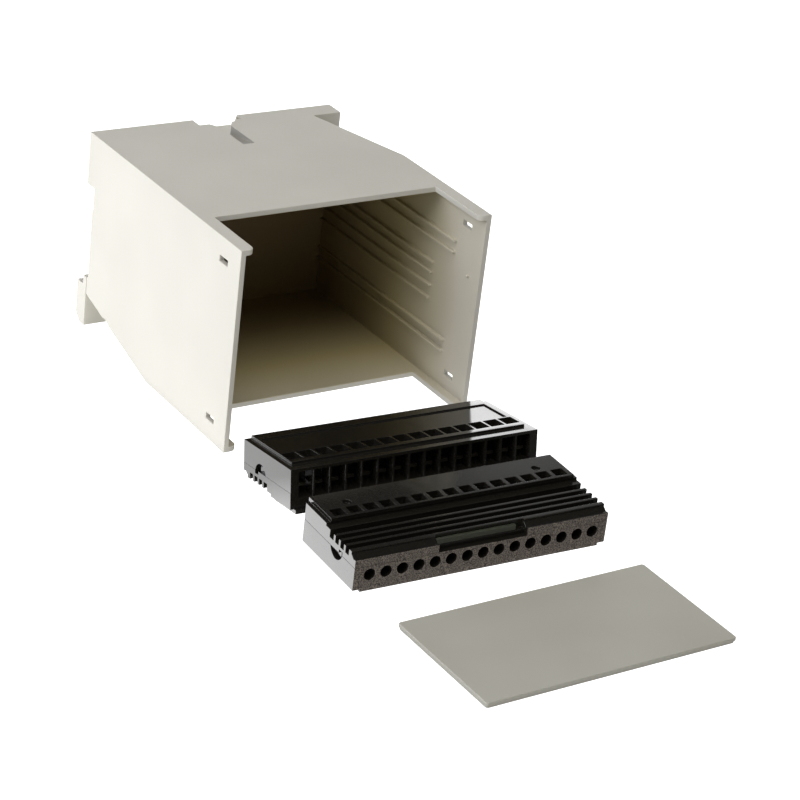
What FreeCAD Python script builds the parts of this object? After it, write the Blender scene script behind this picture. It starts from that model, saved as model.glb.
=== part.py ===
import FreeCAD, Part
import math
import os
import re
import Sketcher

# An enclosure kit for electronics on a 35 mm rail, laid out as it comes: a wide housing open at
# the front, a sprung foot that holds it on the rail, two rows of screw terminals and a cover plate.
# The frame is +X along the rail, +Y from the open front to the rail, +Z up, in millimetres.
# The origin is the centre of the housing's underside.

SIZES = (
    ("case_wide", 100.0, "housing along the rail"),
    ("case_deep", 110.5, "housing from its open front to the back of the jaw"),
    ("case_tall", 75.0, "housing height"),
    ("wall", 2.0, "thickness of every outer wall"),
    ("deck_setback", 28.0, "front edge of roof and floor behind the side walls"),
    ("lip_reach", 5.3, "inward lip of roof and floor beside each side wall"),
    ("lip_round", 2.5, "rounding of the lips' front inner corners"),
    ("cut_start", 57.0, "where the two slanting edge cuts begin"),
    ("cut_ratio", 0.2667, "growth of the slanting cuts' legs for each unit of depth"),
    ("jaw_deep", 8.5, "fixed upper jaw from front to back"),
    ("jaw_low", 55.0, "lower face of the upper jaw"),
    ("jaw_wall", 2.4, "lower wall of the hollow jaw"),
    ("back_wall", 2.1, "back wall at the rail seat"),
    ("seat_deep", 4.9, "rail seat in front of the jaw's back face"),
    ("notch_deep", 0.6, "relief in front of the rail seat"),
    ("notch_low", 46.5, "lower edge of the relief"),
    ("pad_proud", 0.7, "pad for the foot behind the rail seat"),
    ("rail_low", 19.8, "lower edge of the rail seat"),
    ("flange_gap", 1.4, "room for the rail's flange in front of a hook"),
    ("hook_inset", 5.0, "end of the hooks inside the side faces"),
    ("hook_drop", 1.8, "overlap of the jaw's hook on the flange"),
    ("rib_thick", 1.0, "board guide rib, along the height"),
    ("rib_proud", 1.3, "board guide rib, out of the side wall"),
    ("rib_front_long", 16.0, "front end of the lowest and highest ribs"),
    ("rib_front_short", 28.0, "front end of the middle ribs"),
    ("pair_a_low", 15.6, "lower rib of the lowest pair"),
    ("pair_a_gap", 4.3, "rib spacing of the lowest pair"),
    ("pair_b_low", 31.4, "lower rib of the second pair"),
    ("pair_b_gap", 4.9, "rib spacing of the second pair"),
    ("pair_c_low", 41.5, "lower rib of the third pair"),
    ("pair_c_gap", 3.9, "rib spacing of the third pair"),
    ("pair_d_low", 54.3, "lower rib of the highest pair"),
    ("pair_d_gap", 4.4, "rib spacing of the highest pair"),
    ("snap_long", 5.5, "snap slot along the depth"),
    ("snap_tall", 2.2, "snap slot height"),
    ("snap_front", 8.2, "snap slot behind the front"),
    ("snap_edge", 7.0, "snap slot from the nearer horizontal face"),
    ("pip_size", 1.0, "locating pip on the inner side walls"),
    ("pip_front", 6.1, "pip behind the front"),
    ("pip_low", 48.7, "pip height"),
    ("groove_wide", 4.6, "sloping groove in the roof"),
    ("groove_long", 17.3, "length of the sloping groove"),
    ("groove_deep", 3.2, "depth of the groove at its back end"),
    ("groove_left", 47.9, "left side of the groove"),
    ("mouth_long", 3.7, "flared mouth between the groove and the recess"),
    ("mouth_flare", 2.2, "widening of the mouth on each side"),
    ("channel_wall", 1.3, "wall around the groove under the roof"),
    ("recess_left", 41.5, "left end of the recess in the jaw's upper back edge"),
    ("recess_wide", 14.4, "recess along the rail, at its front"),
    ("recess_slant", 4.0, "how far its right end slants outwards"),
    ("recess_long", 5.5, "recess from the jaw's back face forwards"),
    ("recess_deep", 3.5, "recess below the roof"),
    ("eye_radius", 0.9, "small eye beside the recess"),
    ("eye_right", 3.3, "eye beyond the recess's right front corner"),
    ("eye_back", 2.2, "eye behind the recess's front"),
    ("nick_deep", 1.5, "nick in the lower left edge"),
    ("nick_wide", 1.2, "nick into the side wall"),
    ("groove_tip", 0.3, "depth of the groove at its front end"),
    ("nick_long", 4.0, "nick along the depth"),
    ("nick_front", 88.0, "front end of the nick"),
    ("foot_deep", 6.9, "sprung foot from front to back"),
    ("foot_tall", 19.4, "front part of the foot"),
    ("foot_back_tall", 16.0, "back part of the foot"),
    ("foot_front_deep", 2.6, "thickness of the foot's front part"),
    ("foot_bevel", 3.0, "bevel of the foot's lower back edge"),
    ("foot_gap", 0.3, "running gap between foot and housing"),
    ("foot_hook", 2.2, "overlap of the foot's hook on the flange"),
    ("hook_back", 0.8, "height of the hook at its back"),
    ("foot_travel", 4.0, "travel of the foot to let the rail go"),
    ("pull_wide", 8.0, "slot for a screwdriver blade in the foot"),
    ("pull_tall", 2.6, "height of that slot"),
    ("pull_deep", 1.5, "depth of that slot"),
    ("pull_low", 6.0, "that slot above the underside"),
    ("peg_radius", 2.0, "guide peg shank"),
    ("peg_head", 3.4, "guide peg head radius"),
    ("peg_head_thick", 1.7, "guide peg head thickness"),
    ("peg_grip", 3.5, "peg shank between wall and head"),
    ("peg_low", 7.2, "peg centre above the underside"),
    ("peg_side", 25.0, "peg from the housing's side face"),
    ("tab_wide", 4.4, "ledge under the spring"),
    ("tab_thick", 2.0, "ledge thickness"),
    ("tab_low", 2.0, "ledge above the underside"),
    ("tab_reach", 4.7, "ledge out of the pad"),
    ("pocket_play", 0.3, "room around ledge and spring in the foot"),
    ("spring_long", 9.8, "spring between ledge and foot"),
    ("spring_radius", 1.9, "mean coil radius"),
    ("spring_wire", 0.25, "spring wire radius"),
    ("spring_turns", 6.0, "number of coils"),
    ("spring_seat", 0.05, "room at each end of the spring"),
    ("pole_count", 15.0, "terminals in a row"),
    ("pitch", 6.0, "terminal spacing"),
    ("end_margin", 2.65, "end wall beside the first and last terminal's cell"),
    ("strip_deep", 33.4, "row from wire entry to its back"),
    ("split_tall", 9.0, "joint between the row's two mouldings"),
    ("foot_plate", 0.9, "raised plate under the row"),
    ("foot_plate_deep", 29.0, "depth of that plate"),
    ("tray_front", 4.8, "shallow tray in the plate, front end"),
    ("tray_back", 19.6, "shallow tray in the plate, back end"),
    ("tray_deep", 0.5, "depth of the tray"),
    ("tray_rim", 1.4, "rim at the tray's ends"),
    ("cell_wide", 5.1, "cell of one terminal along the row"),
    ("cell_front", 20.4, "front wall of the cells"),
    ("cell_back", 26.5, "back wall of the cells"),
    ("cell_top", 13.4, "ceiling of the cells"),
    ("window_front", 20.7, "front of the screwdriver windows"),
    ("window_back", 24.8, "back of the screwdriver windows"),
    ("window_wide", 4.5, "screwdriver window along the row"),
    ("bore_radius", 2.0, "wire entry"),
    ("bore_axis", 5.9, "wire entry above the plate's face"),
    ("chamber_deep", 5.0, "open chambers in the back"),
    ("chamber_wide", 5.2, "chamber along the row"),
    ("chamber_low", 2.0, "lower edge of the chambers"),
    ("chamber_top", 11.0, "upper edge of the chambers"),
    ("block_tall", 14.8, "top of the row's back block"),
    ("block_front", 19.7, "front of that block"),
    ("step_front", 16.9, "front of the step before the block"),
    ("step_tall", 13.9, "top of the step"),
    ("panel_top", 16.2, "top of the raised panel"),
    ("panel_inset", 1.5, "panel from the row's ends"),
    ("panel_front", 19.5, "front edge of the panel"),
    ("panel_over", 1.1, "panel beyond the row's back"),
    ("comb_floor", 11.3, "floor between the fins"),
    ("fin_top", 13.6, "top of the fins"),
    ("fin_thick", 1.2, "fin thickness"),
    ("fin_pitch", 3.3, "fin spacing"),
    ("fin_first", 3.4, "front face of the outermost fin, without its thickening"),
    ("edge_front", 2.9, "front face of the outermost fin, which is thicker than the others"),
    ("fin_count", 4.0, "number of fins"),
    ("brow_tall", 11.8, "top of the wire entry face"),
    ("brow_thick", 1.1, "thickness of its upper edge"),
    ("slant_low", 11.4, "lower end of the slope in front of the fins"),
    ("slant_top", 12.7, "upper end of the slope in front of the fins"),
    ("label_left", 30.6, "left end of the opening for the marking strip"),
    ("label_long", 33.2, "length of that opening"),
    ("strip_long", 29.8, "length of the marking strip, which can slide in its slot"),
    ("label_ledge", 2.0, "ledge in front of the marking strip"),
    ("label_deep", 1.5, "thickness of the marking strip's slot"),
    ("label_low", 10.7, "bottom of the marking strip"),
    ("label_tall", 1.8, "height of the marking strip"),
    ("label_play", 0.1, "room around the marking strip"),
    ("latch_middle", 12.1, "middle of the arched snap pocket in the row's ends"),
    ("latch_rise", 0.8, "centre of the arch above the joint"),
    ("latch_radius", 3.8, "radius of the arch"),
    ("latch_deep", 2.4, "depth of the snap pocket"),
    ("notch_wide", 2.2, "notch over the pocket's front end"),
    ("notch_tall", 1.2, "height of that notch above the joint"),
    ("tongue_wide", 3.5, "snap tongue along the depth"),
    ("tongue_low", 7.2, "tip of the snap tongue"),
    ("tongue_inset", 1.1, "snap tongue from the row's end face"),
    ("tongue_thick", 1.0, "snap tongue thickness"),
    ("socket_radius", 1.5, "fixing dimple in the panel"),
    ("socket_deep", 1.2, "depth of the dimple"),
    ("socket_inset", 11.6, "dimple from the row's end"),
    ("socket_depth_place", 27.6, "dimple from the wire entry face"),
    ("cage_wide", 4.6, "clamp cage along the row"),
    ("cage_deep", 4.2, "clamp cage from front to back"),
    ("cage_low", 3.3, "underside of the cage"),
    ("cage_floor", 1.0, "floor of the cage"),
    ("cage_top", 9.6, "top of the cage"),
    ("cage_roof", 1.6, "roof of the cage"),
    ("cage_side", 0.6, "side walls of the cage"),
    ("bar_wide", 3.0, "contact bar along the row"),
    ("bar_thick", 1.0, "contact bar thickness"),
    ("bar_end", 31.0, "back end of the contact bar"),
    ("bar_play", 0.1, "room around the bar"),
    ("screw_radius", 1.3, "clamp screw shank"),
    ("screw_head", 1.9, "clamp screw head radius"),
    ("screw_head_low", 11.4, "underside of the head"),
    ("screw_head_thick", 1.6, "head thickness"),
    ("screw_slot", 0.5, "slot width in the head"),
    ("screw_slot_deep", 0.8, "slot depth in the head"),
    ("screw_play", 0.06, "radial room of the screw in the cage"),
    ("cover_long", 95.2, "cover plate length"),
    ("cover_wide", 48.8, "cover plate width"),
    ("cover_thick", 2.2, "cover plate thickness"),
    ("cover_skirt", 0.9, "lower layer of the plate"),
    ("cover_inset", 0.35, "step between the two layers"),
    ("cover_round", 1.0, "corner rounding"),
    ("cover_x", -4.96, "cover's front left corner from the housing's left face"),
    ("cover_y", -168.32, "the same corner from the housing's front"),
    ("cover_turn", 0.35, "cover's turn on the table, degrees"),
    ("front_x", -7.39, "front row's left corner from the housing's left face"),
    ("front_y", -96.45, "the same corner from the housing's front"),
    ("front_turn", -2.42, "front row's turn, degrees"),
    ("rear_x", -0.40, "rear row's left corner from the housing's left face"),
    ("rear_y", -13.07, "the same corner from the housing's front"),
    ("rear_turn", -2.79, "rear row's turn, degrees"),
)

doc = FreeCAD.newDocument("enclosure_kit")
sheet = doc.addObject("Spreadsheet::Sheet", "sizes")
for line, (alias, value, note) in enumerate(SIZES, start=1):
    sheet.set("A%d" % line, note)
    sheet.set("B%d" % line, str(value))
    sheet.setAlias("B%d" % line, alias)
doc.recompute()

ALIASES = re.compile(r"\b(" + "|".join(alias for alias, value, note in SIZES) + r")\b")


def in_sheet_words(rule):
    return ALIASES.sub(r"sizes.\1", str(rule))


def number(rule):
    """The value of a rule written with the sheet's names."""
    return float(sheet.evalExpression(in_sheet_words(rule)))


def bind(item, prop, rule):
    """Ties a property to a rule written with the sheet's names."""
    item.setExpression(prop, in_sheet_words(rule))


def place(item, corner):
    """Ties the three coordinates of an object's place to rules."""
    for axis, rule in zip("xyz", corner):
        bind(item, "Placement.Base." + axis, rule)
    return item


def box(name, corner, lengths):
    """A box from its lowest corner and its three lengths, all given as rules."""
    item = doc.addObject("Part::Box", name)
    for prop, rule in zip(("Length", "Width", "Height"), lengths):
        bind(item, prop, rule)
    return place(item, corner)


def rod(name, centre, radius, length, axis="z"):
    """A round rod that starts at centre and runs along +X, +Y or +Z."""
    item = doc.addObject("Part::Cylinder", name)
    bind(item, "Radius", radius)
    bind(item, "Height", length)
    if axis == "x":
        item.Placement.Rotation = FreeCAD.Rotation(FreeCAD.Vector(0, 1, 0), 90)
    elif axis == "y":
        item.Placement.Rotation = FreeCAD.Rotation(FreeCAD.Vector(1, 0, 0), -90)
    return place(item, centre)


def ramp(name, corner, long, deep, front, back, spread=("0", "0")):
    """A block with two heights in front and two behind, and its back end spread to each side."""
    item = doc.addObject("Part::Wedge", name)
    rules = {"Xmin": "0", "X2min": "-" + spread[0], "Xmax": long, "X2max": long + " + " + spread[1],
             "Ymin": "0", "Ymax": deep,
             "Zmin": front[0], "Zmax": front[1], "Z2min": back[0], "Z2max": back[1]}
    for prop in ("Xmax", "X2max", "Ymax", "Zmax", "Z2max", "Xmin", "X2min", "Ymin", "Zmin", "Z2min"):
        bind(item, prop, rules[prop])
    return place(item, corner)


def join(name, items):
    """All the items made one."""
    item = doc.addObject("Part::MultiFuse", name)
    item.Shapes = items
    return item


def cut(name, base, tools):
    """The base without the tools."""
    tool = tools[0] if len(tools) == 1 else join(name + "_tools", tools)
    item = doc.addObject("Part::Cut", name)
    item.Base = base
    item.Tool = tool
    return item


def row(name, item, direction=(1, 0, 0), count="pole_count", step="pitch"):
    """Equal copies of one object in a row, kept as separate solids."""
    doc.recompute()
    copies = []
    for index in range(round(number(count))):
        copy = item.Shape.copy()
        copy.translate(FreeCAD.Vector(*direction) * (number(step) * index))
        copies.append(copy)
    group = doc.addObject("Part::Feature", name)
    group.Shape = Part.makeCompound(copies)
    return group


def edge_pyramid(name, corner_x, corner_z, tip, end, leg_x, leg_z):
    """The piece that a slanting plane takes off a long edge, from its tip to the plane y = end."""
    edge_x, edge_z, last = number(corner_x), number(corner_z), number(end)
    points = [
        FreeCAD.Vector(edge_x, number(tip), edge_z),
        FreeCAD.Vector(edge_x, last, edge_z),
        FreeCAD.Vector(edge_x + number(leg_x), last, edge_z),
        FreeCAD.Vector(edge_x, last, edge_z + number(leg_z)),
    ]
    faces = []
    for left_out in range(len(points)):
        trio = [point for index, point in enumerate(points) if index != left_out]
        faces.append(Part.Face(Part.makePolygon(trio + trio[:1])))
    solid = Part.makeSolid(Part.makeShell(faces))
    if solid.Volume < 0:
        solid.reverse()
    item = doc.addObject("Part::Feature", name)
    item.Shape = solid
    return item


def new_sketch(body, name, role, offset="0"):
    """A sketch on one of the body's own origin planes, moved along that plane's normal."""
    sketch = body.newObject("Sketcher::SketchObject", name)
    plane = [item for item in body.Origin.OriginFeatures if item.Role == role][0]
    sketch.AttachmentSupport = [(plane, "")]
    sketch.MapMode = "FlatFace"
    bind(sketch, "AttachmentOffset.Base.z", offset)
    return sketch


def outline(sketch, corners):
    """A closed outline through corners, each held by two dimensions from the origin."""
    points = [FreeCAD.Vector(number(across), number(along), 0) for across, along in corners]
    for index, point in enumerate(points):
        following = points[(index + 1) % len(points)]
        sketch.addGeometry(Part.LineSegment(point, following), False)
    for index in range(len(points)):
        following = (index + 1) % len(points)
        sketch.addConstraint(Sketcher.Constraint("Coincident", index, 2, following, 1))
    origin_curve, origin_point, y_axis, x_axis = -1, 1, -2, -1
    for index, pair in enumerate(corners):
        for kind, rule, axis in zip(("DistanceX", "DistanceY"), pair, (y_axis, x_axis)):
            if rule == "0":
                sketch.addConstraint(Sketcher.Constraint("PointOnObject", index, 1, axis))
                continue
            dimension = Sketcher.Constraint(kind, origin_curve, origin_point, index, 1, number(rule))
            bind(sketch, "Constraints[%d]" % sketch.addConstraint(dimension), rule)
    return sketch


def pad(body, name, sketch, length):
    item = body.newObject("PartDesign::Pad", name)
    item.Profile = sketch
    bind(item, "Length", length)
    return item


# Planes that several pieces share, written with the sheet's names.

RAIL_SEAT = "(case_deep - seat_deep)"
PAD_FACE = "(case_deep - seat_deep + pad_proud)"
BACK_INSIDE = "(case_deep - seat_deep - back_wall)"
HOOK_FACE = "(case_deep - seat_deep + flange_gap)"
JAW_FRONT = "(case_deep - jaw_deep)"
FOOT_FRONT = "(case_deep - seat_deep + pad_proud + foot_gap)"
HEAD_FRONT = "(case_deep - seat_deep + pad_proud + peg_grip)"
RECESS_FRONT = "(case_deep - recess_long)"
GROOVE_FRONT = "(case_deep - recess_long - mouth_long - groove_long)"
LEDGE_TOP = "(tab_low + tab_thick)"
PEG_PLACES = (("left", "peg_side"), ("right", "(case_wide - peg_side)"))


# Housing: one light grey moulding, open at the front, its roof and floor set back between lips.


def lip_corners():
    """What rounds off the front inner corner of the lips on each side."""
    tools = []
    for side, low, centre in (("left", "lip_reach - lip_round", "lip_reach - lip_round"),
                              ("right", "case_wide - lip_reach", "case_wide - lip_reach + lip_round")):
        square = box(side + "_lip_square", (low, "0", "0"), ("lip_round", "lip_round", "case_tall"))
        disc = rod(side + "_lip_disc", (centre, "lip_round", "0"), "lip_round", "case_tall")
        tools.append(cut(side + "_lip_corner", square, [disc]))
    return tools


def hollow_space():
    """The boards' space, narrowed where the slanting walls run through it."""
    inner_tip = "(cut_start - (wall * sqrt(2 + cut_ratio * cut_ratio) - 2 * wall) / cut_ratio)"
    leg = "cut_ratio * (%s - %s)" % (BACK_INSIDE, inner_tip)
    block = box("hollow_block", ("wall", "0", "wall"),
                ("case_wide - 2 * wall", BACK_INSIDE, "case_tall - 2 * wall"))
    upper_right = edge_pyramid("upper_right_inside", "case_wide - wall", "case_tall - wall",
                               inner_tip, BACK_INSIDE, "-" + leg, "-" + leg)
    lower_left = edge_pyramid("lower_left_inside", "wall", "wall", inner_tip, BACK_INSIDE, leg, leg)
    return cut("hollow", block, [upper_right, lower_left])


def outer_cuts():
    """The rail gap, the slanting edge cuts, the front opening and the slots in the walls."""
    jaw_leg = "cut_ratio * (%s - cut_start)" % JAW_FRONT
    back_leg = "cut_ratio * (case_deep - cut_start)"
    tools = [
        box("behind_foot", ("0", PAD_FACE, "0"), ("case_wide", "seat_deep", "rail_low")),
        box("rail_gap", ("0", RAIL_SEAT, "rail_low"), ("case_wide", "seat_deep", "jaw_low - rail_low")),
        box("rail_relief", ("0", RAIL_SEAT + " - notch_deep", "notch_low"),
            ("case_wide", "2 * notch_deep", "jaw_low - notch_low")),
        box("front_opening", ("lip_reach", "0", "0"),
            ("case_wide - 2 * lip_reach", "deck_setback", "case_tall")),
        edge_pyramid("upper_right_cut", "case_wide", "case_tall", "cut_start", JAW_FRONT,
                     "-" + jaw_leg, "-" + jaw_leg),
        edge_pyramid("lower_left_cut", "0", "0", "cut_start", "case_deep", back_leg, back_leg),
        box("jaw_hollow", ("wall", BACK_INSIDE, "jaw_low + jaw_wall"),
            ("case_wide - 2 * wall", "case_deep - wall - " + BACK_INSIDE,
             "case_tall - wall - jaw_low - jaw_wall")),
        box("edge_nick", ("0", "nick_front", "0"),
            ("nick_wide", "nick_long", "cut_ratio * (nick_front - cut_start) + nick_deep")),
    ]
    for side, at in (("left", "0"), ("right", "case_wide - wall")):
        for level, low in (("low", "snap_edge"), ("high", "case_tall - snap_edge - snap_tall")):
            tools.append(box("snap_%s_%s" % (side, level), (at, "snap_front", low),
                             ("wall", "snap_long", "snap_tall")))
    return tools


def guide_ribs():
    """Four pairs of ribs on each side wall, which hold the boards by their edges."""
    ribs = []
    for pair, front in (("a", "rib_front_long"), ("b", "rib_front_short"),
                        ("c", "rib_front_short"), ("d", "rib_front_long")):
        lower = "pair_%s_low" % pair
        upper = "pair_%s_low + pair_%s_gap" % (pair, pair)
        for level, centre in (("low", lower), ("high", upper)):
            for side, at in (("left", "wall"), ("right", "case_wide - wall - rib_proud")):
                ribs.append(box("rib_%s_%s_%s" % (pair, level, side),
                                (at, front, centre + " - rib_thick / 2"),
                                ("rib_proud", BACK_INSIDE + " - " + front, "rib_thick")))
    return ribs


def foot_guides():
    """Two headed pegs that guide the foot, and the ledge that carries its spring."""
    root = PAD_FACE + " - wall / 2"
    pieces = [box("spring_ledge", ("case_wide / 2 - tab_wide / 2", root, "tab_low"),
                  ("tab_wide", "tab_reach + wall / 2", "tab_thick"))]
    for side, at in PEG_PLACES:
        pieces.append(rod("peg_" + side, (at, root, "peg_low"), "peg_radius", "peg_grip + wall", "y"))
        pieces.append(rod("peg_head_" + side, (at, HEAD_FRONT, "peg_low"), "peg_head",
                          "peg_head_thick", "y"))
    return pieces


def inner_additions():
    """Pips, the jaw's hook, and the floors of the groove and the recess under the roof."""
    pieces = [
        box("jaw_hook", ("hook_inset", HOOK_FACE, "jaw_low - hook_drop"),
            ("case_wide - 2 * hook_inset", "seat_deep - flange_gap", "hook_drop + wall / 2")),
        box("groove_channel", ("groove_left - mouth_flare - channel_wall", GROOVE_FRONT,
                               "case_tall - groove_deep - channel_wall"),
            ("groove_wide + 2 * mouth_flare + 2 * channel_wall",
             "groove_long + mouth_long + wall / 2", "groove_deep + channel_wall - wall / 2")),
        box("recess_tray", ("recess_left - wall", RECESS_FRONT + " - wall",
                            "case_tall - recess_deep - wall"),
            ("recess_wide + recess_slant + 2 * wall", "recess_long + wall / 2",
             "recess_deep + wall / 2")),
    ]
    for side, at in (("left", "wall"), ("right", "case_wide - wall - pip_size")):
        pieces.append(box("pip_" + side, (at, "pip_front", "pip_low"),
                          ("pip_size", "pip_size", "pip_size")))
    return pieces


def roof_cuts():
    """The groove that slopes down to the recess in the jaw's upper back edge, and the eye."""
    return [
        ramp("sloping_groove", ("groove_left", GROOVE_FRONT, "case_tall"), "groove_wide",
             "groove_long", ("-groove_tip", "wall"), ("-groove_deep", "wall")),
        ramp("groove_mouth", ("groove_left", RECESS_FRONT + " - mouth_long", "case_tall"),
             "groove_wide", "mouth_long", ("-groove_deep", "wall"), ("-groove_deep", "wall"),
             ("mouth_flare", "mouth_flare")),
        ramp("recess", ("recess_left", RECESS_FRONT, "case_tall"), "recess_wide", "recess_long",
             ("-recess_deep", "wall"), ("-recess_deep", "wall"), ("0", "recess_slant")),
        rod("eye", ("recess_left + recess_wide + eye_right", RECESS_FRONT + " + eye_back",
                    "case_tall - wall"), "eye_radius", "wall"),
    ]


def housing():
    block = box("case_block", ("0", "0", "0"), ("case_wide", "case_deep", "case_tall"))
    walls = cut("case_walls", block, outer_cuts() + lip_corners() + [hollow_space()])
    furnished = join("case_furnished", [walls] + guide_ribs() + foot_guides() + inner_additions())
    item = cut("housing", furnished, roof_cuts())
    return place(item, ("-case_wide / 2", "-case_deep / 2", "0"))


# Foot: a sprung bar behind the lower wall, pushed up so that its hook takes the rail's flange.


def rail_latch():
    body = doc.addObject("PartDesign::Body", "foot_bar")
    back = FOOT_FRONT + " + foot_deep"
    shoulder = FOOT_FRONT + " + foot_front_deep"
    section = outline(new_sketch(body, "foot_section", "YZ_Plane"), [
        (FOOT_FRONT, "0"), (back + " - foot_bevel", "0"), (back, "foot_bevel"),
        (back, "foot_back_tall"), (shoulder, "foot_back_tall"), (shoulder, "foot_tall"),
        (FOOT_FRONT, "foot_tall")])
    pad(body, "foot_length", section, "case_wide")
    hook_root = "foot_tall - hook_back"
    hook = ramp("foot_hook_bar", ("hook_inset", HOOK_FACE, hook_root), "case_wide - 2 * hook_inset",
                shoulder + " - " + HOOK_FACE, ("0", "rail_low + foot_hook - " + hook_root),
                ("0", "2 * hook_back"))
    tools = [
        box("spring_pocket", ("case_wide / 2 - tab_wide / 2 - pocket_play", FOOT_FRONT,
                              "tab_low - pocket_play"),
            ("tab_wide + 2 * pocket_play", "tab_reach + pocket_play - foot_gap",
             "tab_thick + spring_long + 2 * spring_seat + pocket_play")),
        box("pull_slot", ("case_wide / 2 - pull_wide / 2", back + " - pull_deep", "pull_low"),
            ("pull_wide", "pull_deep", "pull_tall")),
    ]
    ways = (("shank", "(peg_radius + pocket_play)", FOOT_FRONT),
            ("head", "(peg_head + pocket_play)", HEAD_FRONT + " - foot_gap"))
    for side, at in PEG_PLACES:
        for name, radius, start in ways:
            tools.append(box("%s_way_%s" % (name, side),
                             (at + " - " + radius, start, "peg_low - " + radius),
                             ("2 * " + radius, "foot_deep", "2 * %s + foot_travel" % radius)))
    item = cut("rail_latch", join("foot_with_hook", [body, hook]), tools)
    return place(item, ("-case_wide / 2", "-case_deep / 2", "0"))


def latch_spring():
    body = doc.addObject("PartDesign::Body", "latch_spring")
    sketch = new_sketch(body, "wire_section", "XZ_Plane")
    sketch.addGeometry(Part.Circle(FreeCAD.Vector(number("spring_radius"), number("spring_wire"), 0),
                                   FreeCAD.Vector(0, 0, 1), number("spring_wire")), False)
    for kind, rule in (("DistanceX", "spring_radius"), ("DistanceY", "spring_wire")):
        dimension = Sketcher.Constraint(kind, -1, 1, 0, 3, number(rule))
        bind(sketch, "Constraints[%d]" % sketch.addConstraint(dimension), rule)
    radius = Sketcher.Constraint("Radius", 0, number("spring_wire"))
    bind(sketch, "Constraints[%d]" % sketch.addConstraint(radius), "spring_wire")
    coil = body.newObject("PartDesign::AdditiveHelix", "coil")
    coil.Profile = sketch
    coil.ReferenceAxis = (sketch, ["V_Axis"])
    coil.Mode = 0
    bind(coil, "Pitch", "(spring_long - 2 * spring_wire) / spring_turns")
    bind(coil, "Height", "spring_long - 2 * spring_wire")
    centre = PAD_FACE + " + foot_gap + tab_reach / 2 - case_deep / 2"
    return place(body, ("0", centre, LEDGE_TOP + " + spring_seat"))


# Terminal rows: two black mouldings snapped together around screws, cages and contact bars.
# Their own frame runs +X along the row, +Y from the wire entries to the back, +Z to the panel.

ROW_LONG = "(pole_count * pitch + 2 * end_margin)"
FIRST_POLE = "(end_margin + pitch / 2)"
SCREW_AXIS = "((window_front + window_back) / 2)"
BAR_LOW = "(cage_top - cage_roof - bar_play - bar_thick)"


def snap_places(name, front, low, lengths, inset="0"):
    """The same box at both ends of a row."""
    thick, deep, tall = lengths
    left = box(name + "_left", (inset, front, low), lengths)
    right = box(name + "_right", ("%s - %s - %s" % (ROW_LONG, inset, thick), front, low), lengths)
    return [left, right]


def lower_moulding(prefix):
    block = box(prefix + "lower_block", ("0", "0", "foot_plate"),
                (ROW_LONG, "strip_deep", "split_tall - foot_plate"))
    plate = box(prefix + "plate", ("end_margin", "0", "0"),
                (ROW_LONG + " - 2 * end_margin", "foot_plate_deep", "2 * foot_plate"))
    tray = box(prefix + "tray", ("end_margin + tray_rim", "tray_front", "0"),
               (ROW_LONG + " - 2 * end_margin - 2 * tray_rim", "tray_back - tray_front", "tray_deep"))
    cell = box(prefix + "lower_cell", (FIRST_POLE + " - cell_wide / 2", "cell_front", "0"),
               ("cell_wide", "cell_back - cell_front", "split_tall"))
    entry = rod(prefix + "wire_entry", (FIRST_POLE, "0", "bore_axis"), "bore_radius",
                "cell_front + bore_radius / 2", "y")
    slot = box(prefix + "bar_slot", (FIRST_POLE + " - bar_wide / 2 - bar_play", "cell_back",
                                     BAR_LOW + " - bar_play"),
               ("bar_wide + 2 * bar_play", "bar_end + bar_play - cell_back", "bar_thick + 2 * bar_play"))
    chamber = box(prefix + "lower_chamber", (FIRST_POLE + " - chamber_wide / 2",
                                             "strip_deep - chamber_deep", "chamber_low"),
                  ("chamber_wide", "chamber_deep", "split_tall - chamber_low"))
    tools = [tray] + [row(prefix + name, item) for name, item in (
        ("lower_cells", cell), ("wire_entries", entry), ("bar_slots", slot), ("lower_chambers", chamber))]
    for side, at in (("left", "0"), ("right", ROW_LONG + " - latch_deep")):
        tools.append(rod(prefix + "snap_pocket_" + side, (at, "latch_middle", "split_tall + latch_rise"),
                         "latch_radius", "latch_deep", "x"))
    return cut(prefix + "lower_moulding", join(prefix + "lower_solid", [block, plate]), tools)


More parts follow.
